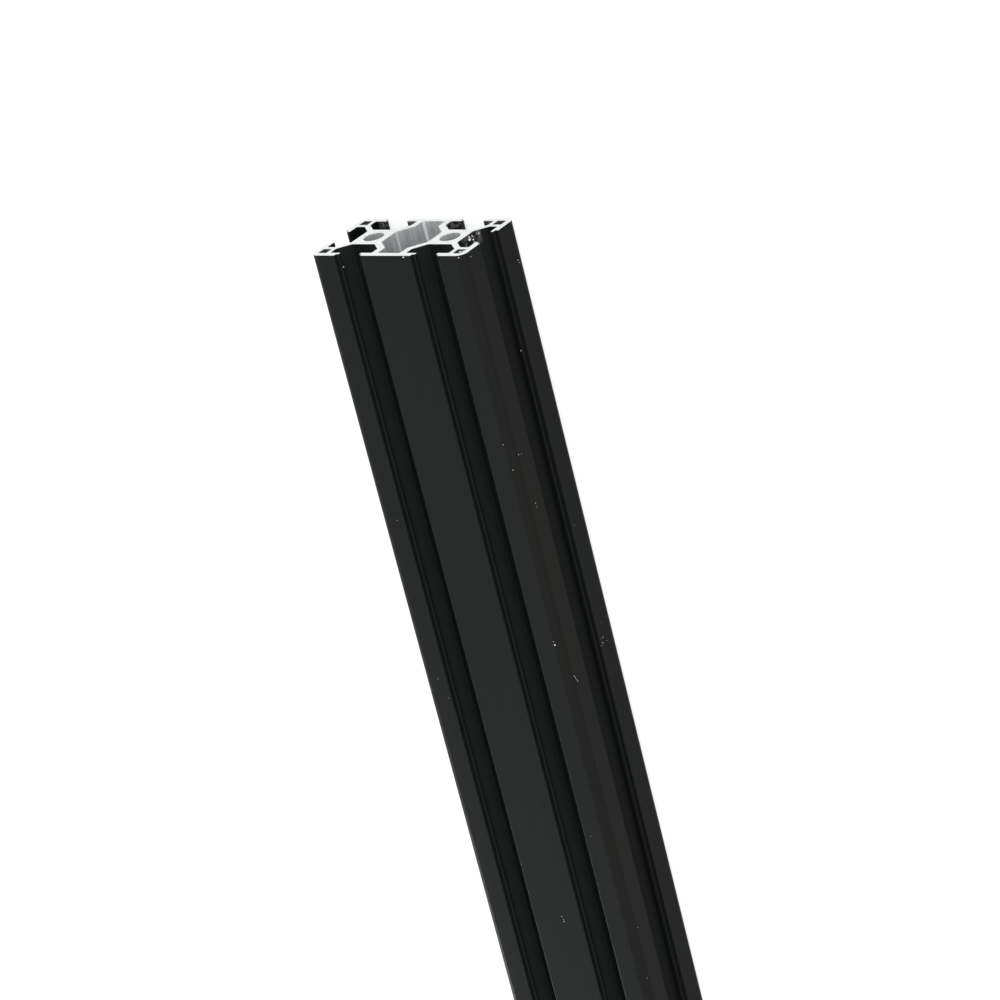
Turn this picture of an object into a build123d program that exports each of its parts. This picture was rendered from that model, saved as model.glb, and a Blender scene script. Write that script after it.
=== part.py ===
"""Aluminium T-slot profile, 60 x 30 mm in section, cut square to a 500 mm bar.

The bar is one extruded piece, and lies on one of its wide faces:
X runs along the bar, Y across the wide face and Z up.
The origin is the middle of the face that it lies on. Sizes are in millimetres.
"""

from build123d import *

import math
import os

# The bar
bar_length = 500.0
module = 30.0  # height of the section, and the spacing of its cores
cores_across = 2  # one screw core for each module of width
corner_radius = 3.0

# The T-slots, one over each core on every face
mouth_width = 10.4
mouth_depth = 1.1  # from the face down to the ledge that the lips carry
throat_width = 8.2
lip_thickness = 2.25
chamber_width = 16.5

# Walls between the hollows of the section
core_bore = 6.8
core_wall = 2.4  # from a bore to the floor of each slot around it
hollow_wall = 2.5  # from a bore to the hollow between two cores
diagonal_web = 1.9  # between the flanks of two slots that meet at a corner
hollow_web = 2.3  # between a slot and the hollow between two cores
skin_thickness = 2.2  # outer wall over the hollow
pocket_wall = 2.0  # outer walls around the pocket inside each corner
pocket_inner_wall = 1.5  # between the pocket and the slots' chambers

# Small radii that the die leaves
mouth_radius = 0.3
lip_radius = 0.3
chamber_radius = 0.5
hollow_radius = 0.8
pocket_radius = 0.3

# Worked out from the sizes above. A slot's flanks and the hollow's slanted
# sides run at 45 degrees, so along each of them x and y add up to one number.
section_width = module * cores_across
section_height = module
slot_depth = module / 2 - core_bore / 2 - core_wall
flank_sum = module / 2 - diagonal_web / math.sqrt(2)
hollow_half = module / 2 - core_bore / 2 - hollow_wall
hollow_sum = module - flank_sum - hollow_web * math.sqrt(2)
neck_half = module / 2 - chamber_width / 2 - hollow_web
pocket_size = module / 2 - chamber_width / 2 - pocket_wall - pocket_inner_wall


def on_wide_face(vertex):
    """Is this corner of the section on a wide face?"""
    return math.isclose(abs(vertex.Y), section_height / 2)


def on_narrow_face(vertex):
    """Is this corner of the section on a narrow face?"""
    return math.isclose(abs(vertex.X), section_width / 2)


def on_both_faces(vertex):
    """Is this one of the four outer corners of the section?"""
    return on_wide_face(vertex) and on_narrow_face(vertex)


def on_mouth_edge(vertex):
    """Is this where a slot's wall meets a face, within half a mouth of a core?"""
    if on_wide_face(vertex):
        return any(math.isclose(abs(vertex.X - x), mouth_width / 2) for x in core_spots)
    return on_narrow_face(vertex) and math.isclose(abs(vertex.Y), mouth_width / 2)


def at_throat(vertex):
    """Is this corner of a slot on its throat's wall?"""
    return math.isclose(abs(vertex.X), throat_width / 2)


def in_chamber(vertex):
    """Is this corner of a slot in its chamber, below the lips?"""
    return vertex.Y < -mouth_depth and not at_throat(vertex)


# A T-slot seen end on: the middle of its mouth is the origin, and its floor is below
with BuildSketch() as t_slot:
    with BuildLine():
        Polyline(
            (0, 0),
            (mouth_width / 2, 0),
            (mouth_width / 2, -mouth_depth),
            (throat_width / 2, -mouth_depth),
            (throat_width / 2, -lip_thickness),
            (chamber_width / 2, -lip_thickness),
            (chamber_width / 2, chamber_width / 2 - flank_sum),
            (flank_sum - slot_depth, -slot_depth),
            (0, -slot_depth),
        )
        mirror(about=Plane.YZ)
    make_face()
    fillet(t_slot.vertices().filter_by(at_throat), lip_radius)
    fillet(t_slot.vertices().filter_by(in_chamber), chamber_radius)

# The hollow between two cores: a neck behind each skin, and sides along the cores
with BuildSketch() as hollow:
    with BuildLine():
        Polyline(
            (0, module / 2 - skin_thickness),
            (neck_half, module / 2 - skin_thickness),
            (neck_half, hollow_sum - neck_half),
            (hollow_half, hollow_sum - hollow_half),
            (hollow_half, 0),
        )
        mirror(about=Plane.YZ)
        mirror(about=Plane.XZ)
    make_face()
    fillet(hollow.vertices(), hollow_radius)

# Where the slots open: each place turns the mouth outwards
core_spots = [spot.position.X for spot in GridLocations(module, 0, cores_across, 1)]
slot_places = [Location((x, section_height / 2)) for x in core_spots]
slot_places += [Location((x, -section_height / 2), 180) for x in core_spots]
slot_places += [
    Location((section_width / 2, 0), -90),
    Location((-section_width / 2, 0), 90),
]

# The section stands across the bar, and the bar is pulled out of it both ways
section_plane = Plane(
    origin=(0, 0, section_height / 2), x_dir=(0, 1, 0), z_dir=(1, 0, 0)
)
pocket_span = 2 * pocket_wall + pocket_size
with BuildPart() as profile_bar:
    with BuildSketch(section_plane) as section:
        Rectangle(section_width, section_height)
        fillet(section.vertices().filter_by(on_both_faces), corner_radius)
        with Locations(*slot_places):
            add(t_slot.sketch, mode=Mode.SUBTRACT)
        fillet(section.vertices().filter_by(on_mouth_edge), mouth_radius)
        with GridLocations(module, 0, cores_across, 1):
            Circle(core_bore / 2, mode=Mode.SUBTRACT)
        with GridLocations(module, 0, cores_across - 1, 1):
            add(hollow.sketch, mode=Mode.SUBTRACT)
        with GridLocations(
            section_width - pocket_span, section_height - pocket_span, 2, 2
        ):
            RectangleRounded(
                pocket_size, pocket_size, pocket_radius, mode=Mode.SUBTRACT
            )
    extrude(amount=bar_length / 2, both=True)

profile_bar.part.label = "profile_bar"
os.makedirs("parts", exist_ok=True)
export_step(profile_bar.part, "parts/profile_bar.step")
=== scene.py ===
"""Dresses the black anodised T-slot bar: its fine section, sawn ends, finishes, stage and camera."""

import math

import bmesh
import bpy
from bpy.props import FloatProperty, FloatVectorProperty, IntProperty, PointerProperty
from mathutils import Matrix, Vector


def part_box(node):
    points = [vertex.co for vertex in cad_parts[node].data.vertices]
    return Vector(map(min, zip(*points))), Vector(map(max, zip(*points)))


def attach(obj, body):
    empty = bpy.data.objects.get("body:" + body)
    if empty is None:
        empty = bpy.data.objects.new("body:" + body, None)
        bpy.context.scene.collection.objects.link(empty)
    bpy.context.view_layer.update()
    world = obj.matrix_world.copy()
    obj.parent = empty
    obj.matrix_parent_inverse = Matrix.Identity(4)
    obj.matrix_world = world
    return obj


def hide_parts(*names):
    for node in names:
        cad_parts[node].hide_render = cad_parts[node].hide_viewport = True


bl_info = {
    "name": "T-slot bar finish",
    "version": (1, 0, 0),
    "blender": (4, 5, 0),
    "location": "View3D > Sidebar > T-slot bar",
    "description": "Models the anodised T-slot bar with its sawn ends, and sets its studio",
    "category": "Object",
}

NODE = "profile_bar"
MM = 0.001

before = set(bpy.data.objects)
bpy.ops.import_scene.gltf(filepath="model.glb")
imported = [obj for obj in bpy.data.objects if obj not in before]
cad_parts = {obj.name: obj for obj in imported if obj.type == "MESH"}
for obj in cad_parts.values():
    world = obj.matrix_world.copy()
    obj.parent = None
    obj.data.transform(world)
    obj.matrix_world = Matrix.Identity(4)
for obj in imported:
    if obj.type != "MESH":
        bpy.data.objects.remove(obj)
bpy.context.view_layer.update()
bar_low, bar_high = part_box(NODE)

# Of these slots, the fourth is a painted highlight on the hollow's roundings, and the fifth is painted
# shade on the pocket walls.
BLACK, SAWN, BARE, PAINTED_HIGHLIGHT, PAINTED_SHADE = range(5)  # the bar's material slots

# Named numbers of the mesh
SAME_PLACE = 0.01 * MM  # two corners closer than this are one
MERGE_GAP = 0.001 * MM
SMOOTH_ANGLE = math.radians(32)  # sharper edges than this stay sharp
EDGE_STEPS = 4  # facets in the small roundings
FLANK_STEPS = 3  # facets where a slot's flank turns by 45 degrees
NECK_STEPS = 6  # facets in the hollow's top corners
END_SLOPE = 0.99  # a face whose normal points this much along the bar closes its end
WEB_SHARE = 0.4  # how far into a web a wall of the hollow or a core is looked for
WALL_SHARE = 0.5  # the same for the walls round a pocket and over the hollow
CAP_SHARE = 0.6  # faces within this share of the dressed edge belong to the sawn end
CHIP_THICKNESS = 0.05 * MM
CHIP_STEPS = 12  # facets in one turn of a chip
CHIP_CLOSING = 0.45  # how much smaller a chip's curl is at its inner end

SPECKS = (  # where dust and small bare nicks lie on the skin, and their radius, in millimetres
    ((114.7, -27.7, 29.9), 0.25),
    ((115.9, -27.5, 30.0), 0.12),
    ((245.3, 19.1, 28.1), 0.26),
    ((249.5, -7.1, 30.0), 0.24),
    ((249.3, -28.2, 29.8), 0.17),
    ((248.1, -30.0, 26.1), 0.15),
    ((101.9, -30.0, 27.0), 0.15),
    ((101.1, -30.0, 26.6), 0.15),
    ((100.2, -30.0, 26.2), 0.13),
    ((99.5, -30.0, 25.9), 0.16),
    ((209.6, -28.2, 10.9), 0.2),
    ((7.9, -2.4, 30.0), 0.12),
    ((7.0, -2.4, 30.0), 0.16),
    ((8.9, -1.9, 30.0), 0.14),
    ((163.0, -30.0, 24.7), 0.15),
    ((161.6, -30.0, 24.6), 0.1),
    ((105.7, -30.0, 7.6), 0.16),
    ((104.2, -30.0, 8.4), 0.15),
    ((103.5, -30.0, 9.2), 0.13),
    ((105.7, -30.0, 8.8), 0.1),
    ((103.6, -30.0, 5.9), 0.09),
    ((110.7, -30.0, 6.4), 0.09),
    ((181.2, -30.0, 27.0), 0.15),
    ((180.7, -30.0, 25.5), 0.1),
    ((185.9, -27.3, 30.0), 0.13),
    ((177.0, -28.4, 29.7), 0.12),
    ((6.3, -30.0, 26.7), 0.12),
    ((-12.7, -29.7, 28.2), 0.1),
    ((91.0, 21.5, 30.0), 0.1),
    ((98.0, 24.0, 30.0), 0.09),
    ((156.8, 23.3, 30.0), 0.09),
    ((42.7, -22.6, 30.0), 0.08),
    ((27.8, 9.5, 30.0), 0.08),
    ((237.3, -30.0, 3.6), 0.16),
    ((236.3, -30.0, 3.2), 0.13),
)

# Curled chips left by the saw. Each has its place and radius in millimetres, the turns of its curl,
# its width in millimetres and its lean in degrees.
CHIPS = (
    ((248.2, -21.3, 14.0), 0.45, 1.2, 0.7, (20, 35, 0)),
    ((248.9, -21.2, 13.3), 0.25, 0.7, 0.9, (80, 20, 60)),
    ((247.5, -21.2, 11.7), 0.35, 0.9, 0.4, (80, -20, 40)),
    ((248.6, -21.2, 11.7), 0.3, 0.6, 0.6, (130, 10, 70)),
    ((246.6, -21.2, 12.0), 0.28, 0.7, 0.5, (200, 25, -30)),
    ((248.9, -22.3, 9.7), 0.35, 0.6, 0.5, (50, -40, 15)),
    ((247.1, -21.1, 15.7), 0.25, 0.8, 0.4, (15, 50, 100)),
    ((249.1, -25.9, 25.6), 0.65, 0.8, 0.5, (170, 15, 10)),
    ((249.2, -27.0, 25.6), 0.35, 1.2, 0.5, (40, 70, 30)),
)


def length(name, description, default):
    """A length that the panel shows in the scene's units."""
    return FloatProperty(name=name, description=description, default=default, unit="LENGTH")


def colour(name, description, default):
    """A colour that the panel shows as a swatch."""
    return FloatVectorProperty(name=name, description=description, default=default, subtype="COLOR")


class BarSizes(bpy.types.PropertyGroup):
    """Sizes of the section, in metres. Its outside and its length come from the frame."""

    core_spacing: length("Core spacing", "Between the screw cores", 30 * MM)
    corner_radius: length("Corner radius", "Of the four long outer corners", 3 * MM)
    mouth_width: length("Mouth width", "Of a slot, at the face", 10.4 * MM)
    mouth_depth: length("Mouth depth", "From the face to the ledge of a lip", 1.1 * MM)
    throat_width: length("Throat width", "Between the lips of a slot", 8.2 * MM)
    lip_thickness: length("Lip thickness", "From the face to a slot's chamber", 2.25 * MM)
    chamber_width: length("Chamber width", "Of a slot, behind its lips", 16.5 * MM)
    core_bore: length("Core bore", "Diameter of a screw core", 6.8 * MM)
    core_wall: length("Core wall", "From a core to a slot's floor", 2.4 * MM)
    hollow_wall: length("Hollow wall", "From a core to the middle hollow", 2.5 * MM)
    diagonal_web: length("Diagonal web", "Between two slots at a corner", 1.9 * MM)
    hollow_web: length("Hollow web", "Between a slot and the middle hollow", 2.3 * MM)
    skin_thickness: length("Skin", "Outer wall over the middle hollow", 2.2 * MM)
    pocket_wall: length("Pocket wall", "Outer walls around a corner pocket", 2 * MM)
    pocket_inner_wall: length("Pocket inner wall", "From a pocket to the slots", 1.5 * MM)
    edge_radius: length("Edge radius", "Of the edges of mouths and lips", 0.3 * MM)
    chamber_radius: length("Chamber radius", "Of the inner corners of a slot", 0.5 * MM)
    hollow_radius: length("Hollow radius", "Of the corners of the middle hollow", 0.8 * MM)
    sawn_edge: length("Sawn edge", "Width of the dressed edge of a sawn end", 0.06 * MM)
    arc_steps: IntProperty(
        name="Arc steps", description="Facets in the rounding of a large corner", default=14, min=2, max=32
    )


class FinishAndPaintedLightColours(bpy.types.PropertyGroup):
    """Colours of the bar's finishes, and of the painted highlight, shade and warm sheen on it."""

    anodised: colour("Anodised", "Dyed oxide skin", (0.0090, 0.0100, 0.0100))
    sawn: colour("Sawn", "Bare metal of the sawn ends", (0.98, 0.98, 0.98))
    bare: colour("Bare", "Undyed metal inside the hollows", (0.87, 0.89, 0.9))
    # Painted highlight: a bright colour on the hollow's rounding facets, standing in for light mirrored
    # there.
    drawn: colour("Drawn", "Painted highlight on the roundings of the hollow", (1.0, 1.0, 1.0))
    # Painted shade: a dark colour on the walls of the deep corner pockets, standing in for the shade in
    # them.
    dull: colour("Dull", "Painted shade on the pocket walls", (0.3, 0.3, 0.295))
    # Painted warm sheen: a warmer, slightly lighter tone on the upper narrow sides.
    side_sheen: colour("Side sheen", "Painted warm sheen on the narrow sides", (0.0112, 0.0104, 0.0096))
    powder: colour("Powder", "Grey powder from the saw", (0.16, 0.155, 0.145))
    dust: colour("Dust", "Pale dust and chips on the skin", (0.85, 0.86, 0.85))


class StageSettings(bpy.types.PropertyGroup):
    """The camera, the floor and the lights."""

    camera_place: FloatVectorProperty(
        name="Camera place",
        description="Where the camera stands",
        subtype="XYZ",
        default=(0.58887, -0.66522, 0.82028),
    )
    camera_turn: FloatVectorProperty(
        name="Camera turn",
        description="The camera's angles in degrees",
        default=(-31.778, 32.635, -105.714),
    )
    camera_lens: FloatProperty(
        name="Lens", description="Focal length in millimetres on a 36 mm frame", default=125.75
    )
    floor_size: length("Floor size", "Side of the floor", 12.0)
    floor_colour: colour("Floor", "Colour of the floor", (0.45, 0.45, 0.45))
    mirrored_tint: colour("Mirrored tint", "Colour of the mirrored glow", (1.0, 0.94, 0.85))
    floor_glow: FloatProperty(
        name="Floor glow",
        description="What the camera sees added to the floor's light",
        default=0.75,
    )
    floor_glow_mirrored: FloatProperty(
        name="Mirrored glow",
        description="What a reflection sees added to the floor's light",
        default=0.22,
    )
    world_light: FloatProperty(
        name="World light", description="Strength of the light from all round", default=0.85
    )
    world_tint: colour("World tint", "Colour of the light from all round", (0.93, 1.0, 0.985))
    key_power: FloatProperty(name="Key", description="Power of the key light in watts", default=9.0)
    rim_power: FloatProperty(
        name="Rim",
        description="Power of the low light behind, in watts",
        default=15.0,
    )
    fill_power: FloatProperty(name="Fill", description="Power of the fill light in watts", default=27.0)


def deselect_everything():
    if bpy.context.mode != "OBJECT":
        bpy.ops.object.mode_set(mode="OBJECT")
    bpy.ops.object.select_all(action="DESELECT")


def select_where(kind, test):
    """In edit mode, select only the vertices, edges or faces that pass a test."""
    mesh = bmesh.from_edit_mesh(bpy.context.edit_object.data)
    bpy.ops.mesh.select_mode(type={"verts": "VERT", "edges": "EDGE", "faces": "FACE"}[kind])
    bpy.ops.mesh.select_all(action="DESELECT")
    for element in getattr(mesh, kind):
        if test(element):
            element.select_set(True)
    mesh.select_flush_mode()
    bmesh.update_edit_mesh(bpy.context.edit_object.data)


def draw_outline(name, points):
    """An open outline in the plane of the section, extruded from point to point."""
    deselect_everything()
    bpy.ops.mesh.primitive_plane_add(size=1 * MM)
    outline = bpy.context.active_object
    outline.name = name
    bpy.ops.object.mode_set(mode="EDIT")
    bpy.ops.mesh.select_mode(type="VERT")
    bpy.ops.mesh.merge(type="CENTER")
    bpy.ops.transform.translate(value=(0, *points[0]))
    for start, end in zip(points, points[1:]):
        step = (0, end[0] - start[0], end[1] - start[1])
        bpy.ops.mesh.extrude_vertices_move(TRANSFORM_OT_translate={"value": step})
    return outline


def round_corners(points, radius, steps, turn=90):
    """Round corners of the outline in edit mode, where it turns by this many degrees."""
    reach = radius * math.tan(math.radians(turn / 2))
    select_where(
        "verts", lambda v: any((v.co - Vector((0, *p))).length < SAME_PLACE for p in points)
    )
    bpy.ops.mesh.bevel(
        affect="VERTICES", offset_type="OFFSET", offset=reach, segments=steps, profile=0.5
    )


def section_values(sizes):
    """Places in the section that follow from its sizes, measured from its middle."""
    spacing, half = sizes.core_spacing, sizes.core_spacing / 2
    flank_sum = half - sizes.diagonal_web / math.sqrt(2)
    return {
        "wide": (bar_high.y - bar_low.y) / 2,
        "high": (bar_high.z - bar_low.z) / 2,
        "core": spacing / 2,
        "slot_depth": half - sizes.core_bore / 2 - sizes.core_wall,
        "flank_sum": flank_sum,
        "hollow_half": half - sizes.core_bore / 2 - sizes.hollow_wall,
        "hollow_sum": spacing - flank_sum - sizes.hollow_web * math.sqrt(2),
        "neck_half": half - sizes.chamber_width / 2 - sizes.hollow_web,
    }


def slot_side(sizes, at):
    """Half of a slot from its mouth to its floor, as (distance from its middle, depth)."""
    return [
        (sizes.mouth_width / 2, 0),
        (sizes.mouth_width / 2, sizes.mouth_depth),
        (sizes.throat_width / 2, sizes.mouth_depth),
        (sizes.throat_width / 2, sizes.lip_thickness),
        (sizes.chamber_width / 2, sizes.lip_thickness),
        (sizes.chamber_width / 2, at["flank_sum"] - sizes.chamber_width / 2),
        (at["flank_sum"] - at["slot_depth"], at["slot_depth"]),
    ]


def draw_outside(sizes, at):
    """A quarter of the outer outline, from a wide face's middle to a narrow slot's floor."""
    side = slot_side(sizes, at)
    wide, high, core = at["wide"], at["high"], at["core"]
    near = [(core - x, high - depth) for x, depth in side]
    far = [(core + x, high - depth) for x, depth in reversed(side)]
    narrow = [(wide - depth, x) for x, depth in side]
    points = [(0, high), *near, *far, (wide, high), *narrow, (wide - at["slot_depth"], 0)]
    outline = draw_outline("outside", points)
    slots = (near, far[::-1], narrow)
    round_corners([(wide, high)], sizes.corner_radius, sizes.arc_steps)
    round_corners([slot[0] for slot in slots], sizes.edge_radius, EDGE_STEPS)
    round_corners([slot[i] for slot in slots for i in (2, 3)], sizes.edge_radius, EDGE_STEPS)
    round_corners([slot[4] for slot in slots], sizes.chamber_radius, EDGE_STEPS)
    flank_ends = [slot[i] for slot in slots for i in (5, 6)]
    round_corners(flank_ends, sizes.chamber_radius, FLANK_STEPS, turn=45)
    return outline


def draw_hollow(sizes, at):
    """A quarter of the middle hollow's outline."""
    top = at["high"] - sizes.skin_thickness
    points = [
        (0, top),
        (at["neck_half"], top),
        (at["neck_half"], at["hollow_sum"] - at["neck_half"]),
        (at["hollow_half"], at["hollow_sum"] - at["hollow_half"]),
        (at["hollow_half"], 0),
    ]
    outline = draw_outline("hollow", points)
    round_corners(points[1:2], sizes.hollow_radius, NECK_STEPS)
    round_corners(points[2:4], sizes.hollow_radius, EDGE_STEPS, turn=45)
    return outline


def draw_pocket(sizes, at):
    """The outline of the pocket inside one corner."""
    near = sizes.core_spacing / 2 - sizes.chamber_width / 2 - sizes.pocket_inner_wall
    right, top = at["wide"] - sizes.pocket_wall, at["high"] - sizes.pocket_wall
    left, bottom = at["wide"] - near, at["high"] - near
    points = [(left, bottom), (right, bottom), (right, top), (left, top)]
    outline = draw_outline("pocket", points)
    select_where("verts", lambda v: len(v.link_edges) == 1)
    bpy.ops.mesh.edge_face_add()
    round_corners(points, sizes.edge_radius, EDGE_STEPS)
    return outline


def join(pieces):
    """Join outlines into the first of them."""
    deselect_everything()
    for piece in pieces:
        piece.select_set(True)
    bpy.context.view_layer.objects.active = pieces[0]
    bpy.ops.object.join()
    return pieces[0]


def mirror_quarter(outline):
    """Turn the quarter into the whole section."""
    deselect_everything()
    outline.select_set(True)
    bpy.context.view_layer.objects.active = outline
    mirror = outline.modifiers.new("four quarters", "MIRROR")
    mirror.use_axis = (False, True, True)
    mirror.merge_threshold = MERGE_GAP
    bpy.ops.object.modifier_apply(modifier=mirror.name)


def add_cores(sizes, at):
    """The circles of the two screw cores."""
    circles = []
    for side in (-1, 1):
        deselect_everything()
        bpy.ops.mesh.primitive_circle_add(
            vertices=8 * sizes.arc_steps,
            radius=sizes.core_bore / 2,
            location=(0, side * at["core"], 0),
            rotation=(0, math.pi / 2, 0),
        )
        bpy.ops.object.transform_apply(location=True, rotation=True, scale=True)
        circles.append(bpy.context.active_object)
    return circles


def is_cap(face):
    return abs(face.normal.x) > END_SLOPE


def pull_bar(section, sizes):
    """Fill the section, pull it out to the bar's length and dress the edges of its ends."""
    deselect_everything()
    section.select_set(True)
    bpy.context.view_layer.objects.active = section
    bpy.ops.object.mode_set(mode="EDIT")
    bpy.ops.mesh.select_all(action="SELECT")
    bpy.ops.mesh.remove_doubles(threshold=MERGE_GAP)
    bpy.ops.mesh.fill(use_beauty=True)
    bpy.ops.mesh.select_all(action="SELECT")
    bpy.ops.transform.translate(value=(bar_low.x, 0, (bar_low.z + bar_high.z) / 2))
    bpy.ops.mesh.extrude_region_move(
        TRANSFORM_OT_translate={"value": (bar_high.x - bar_low.x, 0, 0)}
    )
    bpy.ops.mesh.select_all(action="SELECT")
    bpy.ops.mesh.normals_make_consistent(inside=False)
    select_where(
        "edges", lambda e: len(e.link_faces) == 2 and sum(map(is_cap, e.link_faces)) == 1
    )
    bpy.ops.mesh.bevel(
        affect="EDGES", offset_type="OFFSET", offset=sizes.sawn_edge, segments=1, clamp_overlap=True
    )


def inside_hollows(point, sizes, at):
    """Is this point of a wall in the hollow or a core, and not in a slot or on a face?"""
    y, z = abs(point.y), abs(point.z - (bar_low.z + bar_high.z) / 2)
    web = WEB_SHARE * sizes.diagonal_web
    in_hollow = y < at["hollow_half"] + web and y + z < at["hollow_sum"] + web
    in_neck = y < at["neck_half"] + web and z < at["high"] - WALL_SHARE * sizes.skin_thickness
    in_core = math.hypot(y - at["core"], z) < sizes.core_bore / 2 + web
    return in_hollow or in_neck or in_core


def inside_pockets(point, sizes, at):
    """Is this point of a wall in one of the four corner pockets?"""
    y, z = abs(point.y), abs(point.z - (bar_low.z + bar_high.z) / 2)
    wall = WALL_SHARE * sizes.pocket_wall
    inner_wall = WALL_SHARE * sizes.pocket_inner_wall
    corner = sizes.core_spacing / 2 - sizes.chamber_width / 2 - inner_wall
    return wall < at["wide"] - y < corner and wall < at["high"] - z < corner


def in_hollow_corner(polygon, at):
    """Is this a rounding facet near the outer side of the middle hollow, where the highlight is painted?
    """
    y, z = abs(polygon.center.y), abs(polygon.center.z - (bar_low.z + bar_high.z) / 2)
    side_band, top_band = 1 * MM, 4 * MM
    at_side = y > at["hollow_half"] - side_band
    outer = y < at["hollow_half"] and (at_side or z > at["high"] - top_band)
    # Flat walls slope by a multiple of 45 degrees, and rounding facets lie in between.
    slope = math.degrees(math.atan2(polygon.normal.z, polygon.normal.y)) % 45
    return outer and 2 < slope < 43


def assign_finishes_and_painted_light(bar, sizes, at):
    """Give each face of the bar the finish of the surface it is on, with painted highlight on the hollow's
    rounding facets and painted shade on the pocket walls.
    """
    for polygon in bar.data.polygons:
        middle = polygon.center
        near_end = min(middle.x - bar_low.x, bar_high.x - middle.x)
        if near_end < CAP_SHARE * sizes.sawn_edge:
            polygon.material_index = SAWN
        elif inside_hollows(middle, sizes, at):
            # Rounding facets in the hollow get the painted highlight.
            polygon.material_index = PAINTED_HIGHLIGHT if in_hollow_corner(polygon, at) else BARE
        elif inside_pockets(middle, sizes, at):
            # Pocket walls get the painted shade.
            polygon.material_index = PAINTED_SHADE
        else:
            polygon.material_index = BLACK


class BAR_OT_make(bpy.types.Operator):
    """Model the bar from its section, and give it its finishes, with a painted highlight in the hollow and
    painted shade in the pockets
    """

    bl_idname = "tslot.make_bar"
    bl_label = "Make the bar"

    def execute(self, context):
        sizes = context.scene.tslot_sizes
        colours = context.scene.tslot_colours
        at = section_values(sizes)
        section = join([draw_outside(sizes, at), draw_hollow(sizes, at), draw_pocket(sizes, at)])
        mirror_quarter(section)
        bar = join([section, *add_cores(sizes, at)])
        bar.name = "anodised_bar"
        pull_bar(bar, sizes)
        deselect_everything()
        for material in (
            anodised_skin(colours),
            sawn_metal(colours),
            bare_metal("bare aluminium walls", colours.bare),
            # A lighter, less metallic copy of the bare metal: painted highlight on the hollow's roundings.
            bare_metal("drawn aluminium corners", colours.drawn, metallic=0.4),
            # A darker copy of the bare metal: painted shade on the pocket walls.
            bare_metal("dull aluminium pockets", colours.dull),
        ):
            bar.data.materials.append(material)
        assign_finishes_and_painted_light(bar, sizes, at)
        bar.select_set(True)
        context.view_layer.objects.active = bar
        bpy.ops.object.shade_smooth_by_angle(angle=SMOOTH_ANGLE)
        normals = bar.modifiers.new("flat faces stay flat", "WEIGHTED_NORMAL")
        normals.keep_sharp = True
        normals.weight = 100
        bpy.ops.object.modifier_apply(modifier=normals.name)
        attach(bar, "root")
        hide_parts(NODE)
        return {"FINISHED"}


def curl_chip(place, radius, turns, width, lean):
    """One curled ribbon of metal: a spiral that is pulled out sideways and given a thickness."""
    count = max(CHIP_STEPS // 2, round(turns * CHIP_STEPS))
    spiral = []
    for i in range(count + 1):
        angle = math.tau * turns * i / count
        reach = radius * (1 - CHIP_CLOSING * i / count)
        spiral.append((reach * math.cos(angle), reach * math.sin(angle)))
    chip = draw_outline("chip", spiral)
    bpy.ops.mesh.select_all(action="SELECT")
    bpy.ops.mesh.extrude_region_move(TRANSFORM_OT_translate={"value": (width, 0, 0)})
    bpy.ops.object.mode_set(mode="OBJECT")
    thick = chip.modifiers.new("thickness", "SOLIDIFY")
    thick.thickness = CHIP_THICKNESS
    bpy.ops.object.modifier_apply(modifier=thick.name)
    chip.rotation_euler = [math.radians(angle) for angle in lean]
    chip.location = place
    bpy.ops.object.transform_apply(location=True, rotation=True, scale=True)
    return chip


class CHIPS_OT_make(bpy.types.Operator):
    """Model the curled chips that the saw left in the side slot and a pocket at the near end"""

    bl_idname = "tslot.make_chips"
    bl_label = "Make the saw chips"

    def execute(self, context):
        chips = join(
            [
                curl_chip(Vector(place) * MM, radius * MM, turns, width * MM, lean)
                for place, radius, turns, width, lean in CHIPS
            ]
        )
        chips.name = "saw_chips"
        chips.data.materials.append(sawn_metal(context.scene.tslot_colours))
        bpy.ops.object.shade_smooth_by_angle(angle=SMOOTH_ANGLE)
        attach(chips, "root")
        return {"FINISHED"}


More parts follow.
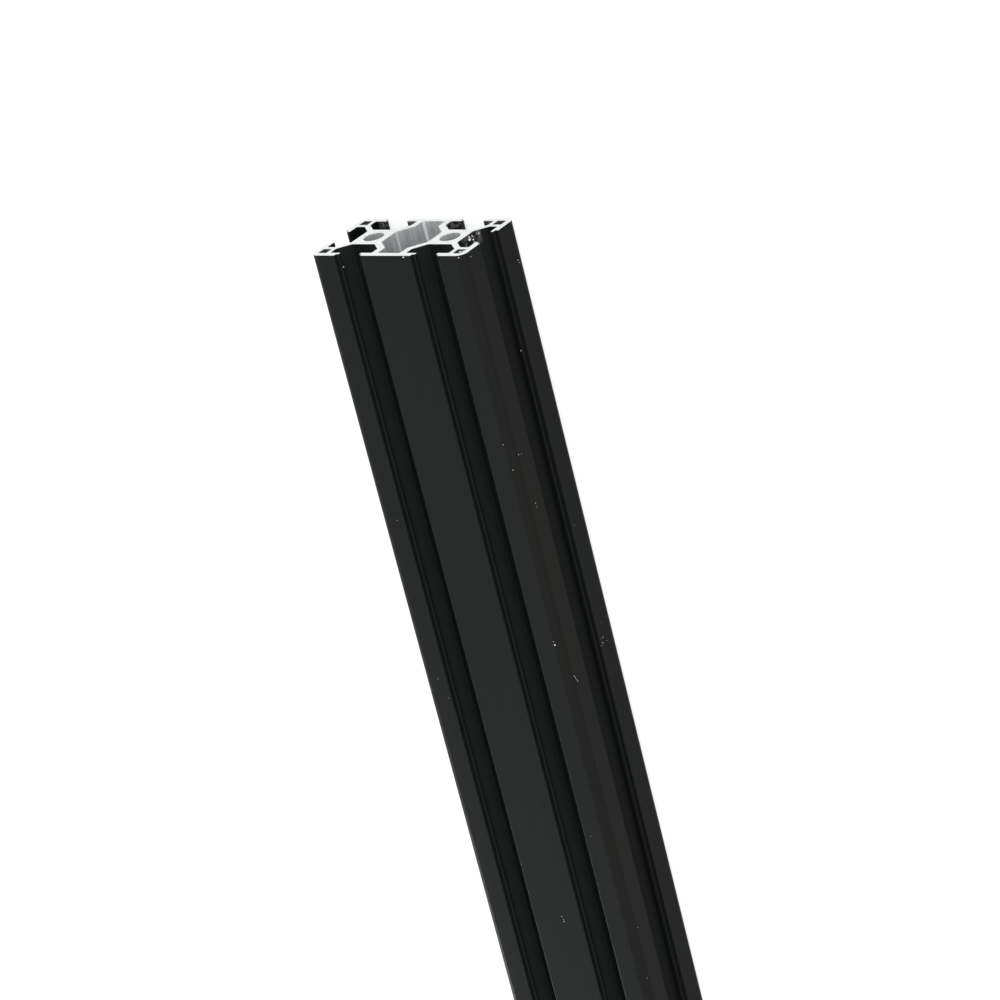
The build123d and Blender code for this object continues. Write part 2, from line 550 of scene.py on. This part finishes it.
class Nodes:
    """Adds nodes to one material."""

    def __init__(self, name):
        self.material = bpy.data.materials.new(name)
        self.material.use_nodes = True
        self.tree = self.material.node_tree
        self.shader = self.tree.nodes["Principled BSDF"]
        coordinates = self.tree.nodes.new("ShaderNodeTexCoord")
        self.place = coordinates.outputs["Object"]

    def add(self, kind, **values):
        """A node with its properties and inputs set, linked where the value is a socket."""
        node = self.tree.nodes.new(kind)
        for key, value in values.items():
            if key in node.inputs:
                self.feed(node.inputs[key], value)
            else:
                setattr(node, key, value)
        return node

    def feed(self, socket, value):
        if isinstance(value, bpy.types.NodeSocket):
            self.tree.links.new(value, socket)
        else:
            socket.default_value = value

    def stretched(self, x, y, z):
        """The object's coordinates, scaled along each axis."""
        mapping = self.add("ShaderNodeMapping", Vector=self.place, Scale=(x, y, z))
        return mapping.outputs["Vector"]

    def noise(self, vector, scale=1.0, detail=3.0, roughness=0.5):
        texture = self.add(
            "ShaderNodeTexNoise", Vector=vector, Scale=scale, Detail=detail, Roughness=roughness
        )
        return texture.outputs["Fac"]

    def between(self, value, low, high, out_low=0.0, out_high=1.0):
        """value moved from one range to another, and held inside it."""
        node = self.add("ShaderNodeMapRange", Value=value)
        for name, number in (
            ("From Min", low),
            ("From Max", high),
            ("To Min", out_low),
            ("To Max", out_high),
        ):
            node.inputs[name].default_value = number
        return node.outputs["Result"]

    def maths(self, operation, first, second):
        node = self.add("ShaderNodeMath", operation=operation)
        self.feed(node.inputs[0], first)
        self.feed(node.inputs[1], second)
        return node.outputs["Value"]

    def blend(self, factor, first, second):
        """A colour between two colours."""
        node = self.add("ShaderNodeMix", data_type="RGBA")
        self.feed(node.inputs[0], factor)
        self.feed(node.inputs[6], first)
        self.feed(node.inputs[7], second)
        return node.outputs[2]

    def spot(self, place, radius):
        """1 inside a small ball, 0 outside it."""
        gap = self.add("ShaderNodeVectorMath", operation="DISTANCE")
        self.feed(gap.inputs[0], self.place)
        self.feed(gap.inputs[1], place)
        return self.maths("LESS_THAN", gap.outputs["Value"], radius)

    def bump(self, height, distance, strength=1.0):
        node = self.add("ShaderNodeBump", Height=height, Distance=distance, Strength=strength)
        self.feed(self.shader.inputs["Normal"], node.outputs["Normal"])


def shade(colour, factor=1.0):
    """A colour with its alpha, made lighter or darker."""
    return (*(channel * factor for channel in colour), 1.0)


def die_lines(nodes):
    """Fine lines that the die draws along the bar, and a wide, faint wander in them."""
    fine = nodes.noise(nodes.stretched(6, 2600, 2600), detail=2.0)
    broad = nodes.noise(nodes.stretched(2, 420, 420), detail=3.0)
    half_fine, half_broad = (nodes.maths("MULTIPLY", part, 0.5) for part in (fine, broad))
    return nodes.maths("ADD", half_fine, half_broad)


def anodised_skin(colours):
    """Satin black anodised skin, unevenly dyed: die lines, a fine grain, specks of dust, and a painted
    warm sheen in patches on the upper narrow sides.
    """
    nodes = Nodes("black anodised skin")
    lines = die_lines(nodes)
    cloud = nodes.noise(nodes.stretched(9, 30, 30), detail=4.0)
    line_share, cloud_share = 0.6, 0.4
    tone = nodes.maths(
        "ADD",
        nodes.maths("MULTIPLY", lines, line_share),
        nodes.maths("MULTIPLY", cloud, cloud_share),
    )
    darker, lighter = shade(colours.anodised, 0.9), shade(colours.anodised, 1.1)
    dye_and_sheen = nodes.blend(nodes.between(tone, low=0.3, high=0.7), darker, lighter)
    # Painted warm sheen: a warmer, slightly lighter tone in patches on the upper narrow sides.
    dye_and_sheen = nodes.blend(painted_side_sheen(nodes), dye_and_sheen, shade(colours.side_sheen))
    cell = nodes.add("ShaderNodeTexVoronoi", Vector=nodes.place, Scale=170.0, Randomness=1.0)
    chosen = nodes.add("ShaderNodeSeparateColor", Color=cell.outputs["Color"])
    rare = nodes.between(chosen.outputs["Red"], low=0.965, high=0.97)
    small = nodes.between(cell.outputs["Distance"], low=0.03, high=0.015)
    speck = nodes.maths("MULTIPLY", rare, small)
    for place, radius in SPECKS:
        speck = nodes.maths("MAXIMUM", speck, nodes.spot(Vector(place) * MM, radius * MM))
    powdered = nodes.blend(saw_powder(nodes), dye_and_sheen, shade(colours.powder))
    nodes.feed(
        nodes.shader.inputs["Base Color"], nodes.blend(speck, powdered, shade(colours.dust))
    )
    roughened = nodes.maths("ADD", lines, speck)
    nodes.feed(
        nodes.shader.inputs["Roughness"],
        nodes.between(roughened, low=0.3, high=1.2, out_low=0.25, out_high=0.4),
    )
    nodes.shader.inputs["Specular IOR Level"].default_value = 0.085
    grain = nodes.noise(nodes.place, scale=5200.0, detail=1.0)
    faint_grain = nodes.maths("MULTIPLY", grain, 0.25)
    nodes.bump(nodes.maths("ADD", lines, faint_grain), distance=0.003 * MM)
    return nodes.material


def painted_side_sheen(nodes):
    """A painted warm, slightly lighter sheen, in patches, on the upper part of the narrow sides."""
    place = nodes.add("ShaderNodeSeparateXYZ", Vector=nodes.place)
    across = nodes.maths("ABSOLUTE", place.outputs["Y"], 0.0)
    on_side = nodes.between(across, bar_high.y - 4 * MM, bar_high.y - 1 * MM)
    cloud = nodes.noise(nodes.stretched(22, 90, 90), detail=5.0, roughness=0.65)
    patchy = nodes.between(cloud, low=0.38, high=0.6)
    upper = nodes.between(place.outputs["Z"], 8 * MM, 12 * MM)
    return nodes.maths("MULTIPLY", nodes.maths("MULTIPLY", on_side, upper), patchy)


def saw_powder(nodes):
    """Powder from the saw, on the lower walls inside the slots, close to the near end."""
    place = nodes.add("ShaderNodeSeparateXYZ", Vector=nodes.place)
    faded, full = bar_high.x - 5 * MM, bar_high.x - 1 * MM
    clean_height, dusty_height = 18 * MM, 15 * MM
    bottom_margin, side_margin = 1.5 * MM, 7.6 * MM
    near = nodes.between(place.outputs["X"], faded, full)
    low = nodes.between(place.outputs["Z"], clean_height, dusty_height)
    off_bottom = nodes.maths("GREATER_THAN", place.outputs["Z"], bar_low.z + bottom_margin)
    across = nodes.maths("ABSOLUTE", place.outputs["Y"], 0.0)
    off_side = nodes.maths("LESS_THAN", across, bar_high.y - side_margin)
    patchy = nodes.between(nodes.noise(nodes.place, scale=900.0, detail=4.0), low=0.42, high=0.62)
    for mask in (near, low, off_bottom, off_side):
        patchy = nodes.maths("MULTIPLY", patchy, mask)
    return patchy


def sawn_metal(colours):
    """Bare sawn aluminium: bright, with the saw's fine bowed marks across the end."""
    nodes = Nodes("sawn aluminium")
    centred = nodes.add("ShaderNodeMapping", Vector=nodes.place, Location=(0, 0.21, 0.12))
    marks = nodes.add(
        "ShaderNodeTexWave",
        wave_type="RINGS",
        rings_direction="X",
        Vector=centred.outputs["Vector"],
        Scale=900.0,
        Distortion=1.2,
        Detail=3.0,
    )
    marks.inputs["Detail Scale"].default_value = 2.0
    patches = nodes.noise(nodes.place, scale=140.0, detail=4.0)
    nodes.feed(
        nodes.shader.inputs["Base Color"],
        nodes.blend(patches, shade(colours.sawn, 0.93), shade(colours.sawn)),
    )
    nodes.feed(
        nodes.shader.inputs["Roughness"],
        nodes.between(marks.outputs["Fac"], low=0.0, high=1.0, out_low=0.3, out_high=0.48),
    )
    nodes.shader.inputs["Metallic"].default_value = 0.4
    nodes.bump(marks.outputs["Fac"], distance=0.01 * MM)
    return nodes.material


def bare_metal(name, metal, metallic=1.0):
    """Undyed metal inside the hollows, with strong die lines along the bar. Lighter and darker copies of
    it paint a highlight on the hollow's roundings and shade on the pocket walls.
    """
    nodes = Nodes(name)
    lines = die_lines(nodes)
    darker, lighter = shade(metal, 0.75), shade(metal, 1.1)
    nodes.feed(
        nodes.shader.inputs["Base Color"],
        nodes.blend(nodes.between(lines, low=0.35, high=0.65), darker, lighter),
    )
    nodes.feed(
        nodes.shader.inputs["Roughness"],
        nodes.between(lines, low=0.3, high=0.7, out_low=0.48, out_high=0.64),
    )
    nodes.shader.inputs["Metallic"].default_value = metallic
    nodes.bump(lines, distance=0.012 * MM)
    return nodes.material


def floor_paint(stage):
    """Pale floor, white to the camera and in reflections, that still takes the bar's shadow."""
    nodes = Nodes("pale floor")
    nodes.shader.inputs["Base Color"].default_value = shade(stage.floor_colour)
    nodes.shader.inputs["Roughness"].default_value = 0.9
    nodes.shader.inputs["Specular IOR Level"].default_value = 0.0
    rays = nodes.add("ShaderNodeLightPath")
    nodes.feed(
        nodes.shader.inputs["Emission Color"],
        nodes.blend(rays.outputs["Is Camera Ray"], shade(stage.mirrored_tint), (1, 1, 1, 1)),
    )
    straight = nodes.maths("MULTIPLY", rays.outputs["Is Camera Ray"], stage.floor_glow)
    mirrored = nodes.maths("MULTIPLY", seen_rays(nodes.tree), stage.floor_glow_mirrored)
    nodes.feed(nodes.shader.inputs["Emission Strength"], nodes.maths("MAXIMUM", straight, mirrored))
    return nodes.material


def seen_rays(tree):
    """1 for a ray seen straight, mirrored or through glass, and 0 for one that lights."""
    rays = tree.nodes.new("ShaderNodeLightPath")
    seen = rays.outputs["Is Camera Ray"]
    for name in ("Is Glossy Ray", "Is Transmission Ray"):
        either = tree.nodes.new("ShaderNodeMath")
        either.operation = "MAXIMUM"
        tree.links.new(seen, either.inputs[0])
        tree.links.new(rays.outputs[name], either.inputs[1])
        seen = either.outputs["Value"]
    return seen


def set_world(scene, light, tint):
    """A studio that lights softly, and is plain white where it is seen or mirrored."""
    world = bpy.data.worlds.new("studio")
    scene.world = world
    world.use_nodes = True
    tree = world.node_tree
    soft = tree.nodes["Background"]
    soft.inputs["Color"].default_value = shade(tint)
    soft.inputs["Strength"].default_value = light
    white = tree.nodes.new("ShaderNodeBackground")
    white.inputs["Color"].default_value = (1, 1, 1, 1)
    mix = tree.nodes.new("ShaderNodeMixShader")
    tree.links.new(seen_rays(tree), mix.inputs["Fac"])
    tree.links.new(soft.outputs["Background"], mix.inputs[1])
    tree.links.new(white.outputs["Background"], mix.inputs[2])
    tree.links.new(mix.outputs["Shader"], tree.nodes["World Output"].inputs["Surface"])


def add_light(name, place, target, size, power):
    """A square soft light that points at a target."""
    deselect_everything()
    bpy.ops.object.light_add(type="AREA", location=place)
    light = bpy.context.active_object
    light.name = name
    light.data.shape = "SQUARE"
    light.data.size = size
    light.data.energy = power
    light.rotation_euler = (Vector(target) - Vector(place)).to_track_quat("-Z", "Y").to_euler()
    return light


class STAGE_OT_make(bpy.types.Operator):
    """Set the floor, the world, the lights and the camera"""

    bl_idname = "tslot.make_stage"
    bl_label = "Make the stage"

    def execute(self, context):
        scene = context.scene
        stage = scene.tslot_stage
        deselect_everything()
        bpy.ops.mesh.primitive_plane_add(size=stage.floor_size, location=(0, 0, bar_low.z))
        floor = context.active_object
        floor.name = "floor"
        bpy.ops.object.transform_apply(location=True, rotation=True, scale=True)
        floor.data.materials.append(floor_paint(stage))
        set_world(scene, stage.world_light, stage.world_tint)
        add_light("rim", (-1.6, 1.9, 0.7), (-0.1, 0, 0), 0.9, stage.rim_power)
        # These two light the slots and the sawn end. Mirrored in the skin, they would glare.
        for light in (
            add_light("key", (-0.6, -1.45, 1.2), (0, 0, 0), 1.4, stage.key_power),
            add_light("fill", (1.9, -0.3, 0.5), (0.2, 0, 0), 1.8, stage.fill_power),
        ):
            light.visible_glossy = False
        bpy.ops.object.camera_add(location=stage.camera_place)
        camera = context.active_object
        camera.rotation_euler = [math.radians(angle) for angle in stage.camera_turn]
        camera.data.lens = stage.camera_lens
        camera.data.sensor_width = 36.0
        camera.data.clip_start = 0.05
        scene.camera = camera
        scene.view_settings.view_transform = "Standard"
        return {"FINISHED"}


class TSLOT_PT_panel(bpy.types.Panel):
    """Lists what the script makes"""

    bl_idname = "TSLOT_PT_panel"
    bl_label = "T-slot bar"
    bl_space_type = "VIEW_3D"
    bl_region_type = "UI"
    bl_category = "T-slot bar"

    def draw(self, context):
        for group in ("tslot_sizes", "tslot_colours", "tslot_stage"):
            settings = getattr(context.scene, group)
            box = self.layout.box()
            for name in settings.__annotations__:
                box.prop(settings, name)
        for operator in (BAR_OT_make, CHIPS_OT_make, STAGE_OT_make):
            self.layout.operator(operator.bl_idname)


CLASSES = (
    BarSizes,
    FinishAndPaintedLightColours,
    StageSettings,
    BAR_OT_make,
    CHIPS_OT_make,
    STAGE_OT_make,
    TSLOT_PT_panel,
)


def register():
    for one in CLASSES:
        bpy.utils.register_class(one)
    bpy.types.Scene.tslot_sizes = PointerProperty(type=BarSizes)
    bpy.types.Scene.tslot_colours = PointerProperty(type=FinishAndPaintedLightColours)
    bpy.types.Scene.tslot_stage = PointerProperty(type=StageSettings)


def unregister():
    for name in ("tslot_sizes", "tslot_colours", "tslot_stage"):
        delattr(bpy.types.Scene, name)
    for one in reversed(CLASSES):
        bpy.utils.unregister_class(one)


def main():
    register()
    bpy.ops.tslot.make_bar()
    bpy.ops.tslot.make_chips()
    bpy.ops.tslot.make_stage()


if __name__ == "__main__":
    main()
